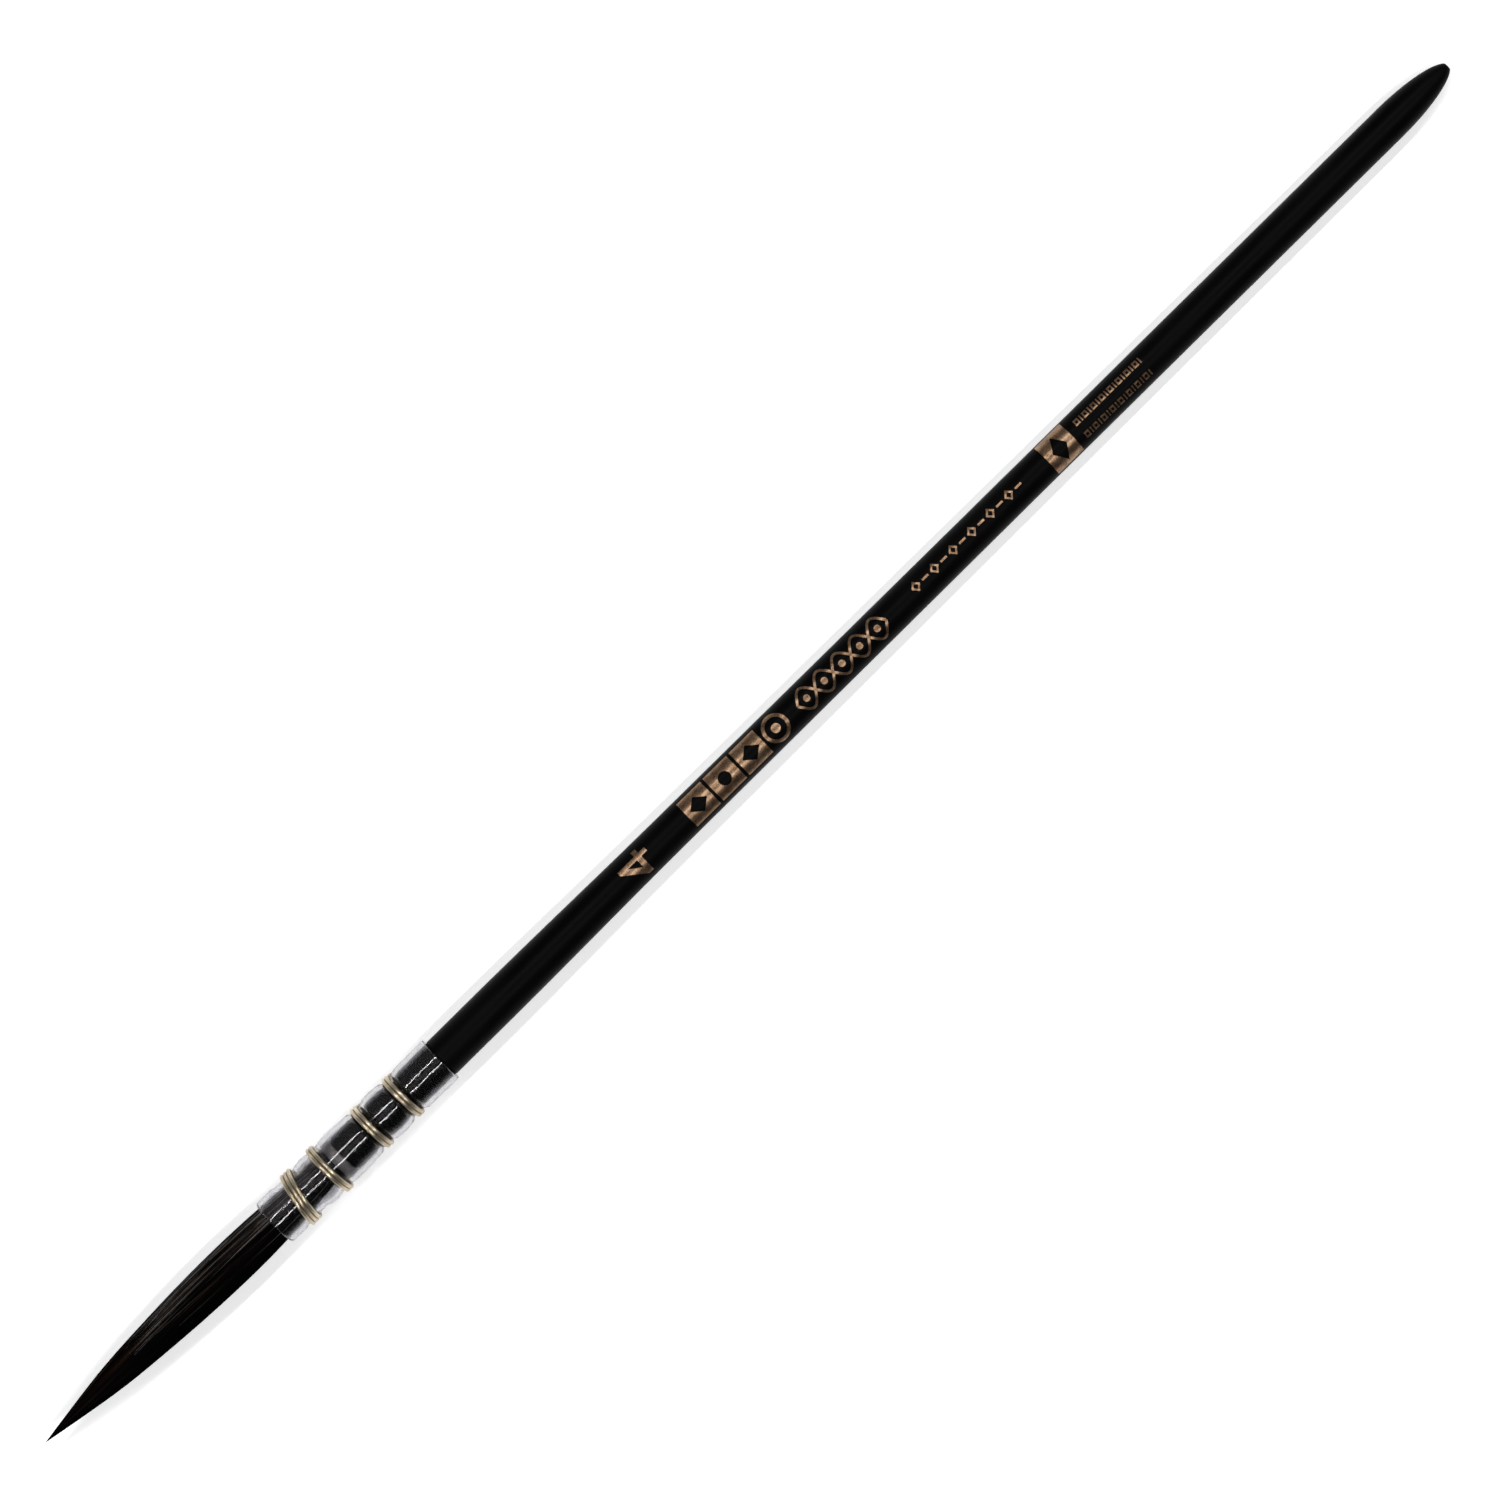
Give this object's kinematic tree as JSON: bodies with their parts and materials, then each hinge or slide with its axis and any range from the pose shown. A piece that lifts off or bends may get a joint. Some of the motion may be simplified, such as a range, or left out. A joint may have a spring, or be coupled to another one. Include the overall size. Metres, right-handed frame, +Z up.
{
  "type": "quill-bound watercolour brush",
  "caption": "Slender round paint brush: pointed dark hair in a clear quill sleeve, wire-bound to a black lacquered wooden handle.",
  "frame": {"origin": "middle of the brush's length on the table it lies on", "axes": "+X along the brush from the hair to the end of the handle, +Z up; the axis dips 0.45 degrees towards the handle's tail"},
  "size_m": [0.1965, 0.0062, 0.0062],
  "materials": {
    "black_lacquer": "satin black lacquer over turned wood",
    "clear_plastic": "clear, slightly milky plastic",
    "binding_wire": "soft drawn wire, pale and slightly tarnished",
    "dark_hair": "fine dark brown to black hair with a soft sheen",
    "black_thread": "waxed thread",
    "set_resin": "grey-brown set resin",
    "copper_foil": "grainy hot-stamped foil"
  },
  "bodies": {
    "brush": {"handle": "black_lacquer", "quill_sleeve": "clear_plastic", "binding_wire_front": "binding_wire", "binding_wire_second": "binding_wire", "binding_wire_third": "binding_wire", "binding_wire_rear": "binding_wire", "hair_root": "dark_hair", "root_thread": "black_thread", "root_resin": "set_resin"},
    "tuft": {"hair_tuft": "dark_hair"}
  },
  "joints": [
    {"name": "tuft_bend", "type": "hinge", "parent": "brush", "child": "tuft", "pos_m": [-0.06755, 0, 0.00315], "axis": [0.0079, 0, 1], "range_deg": [-40, 40], "stiffness_Nm_per_rad": 0.002}
  ]
}
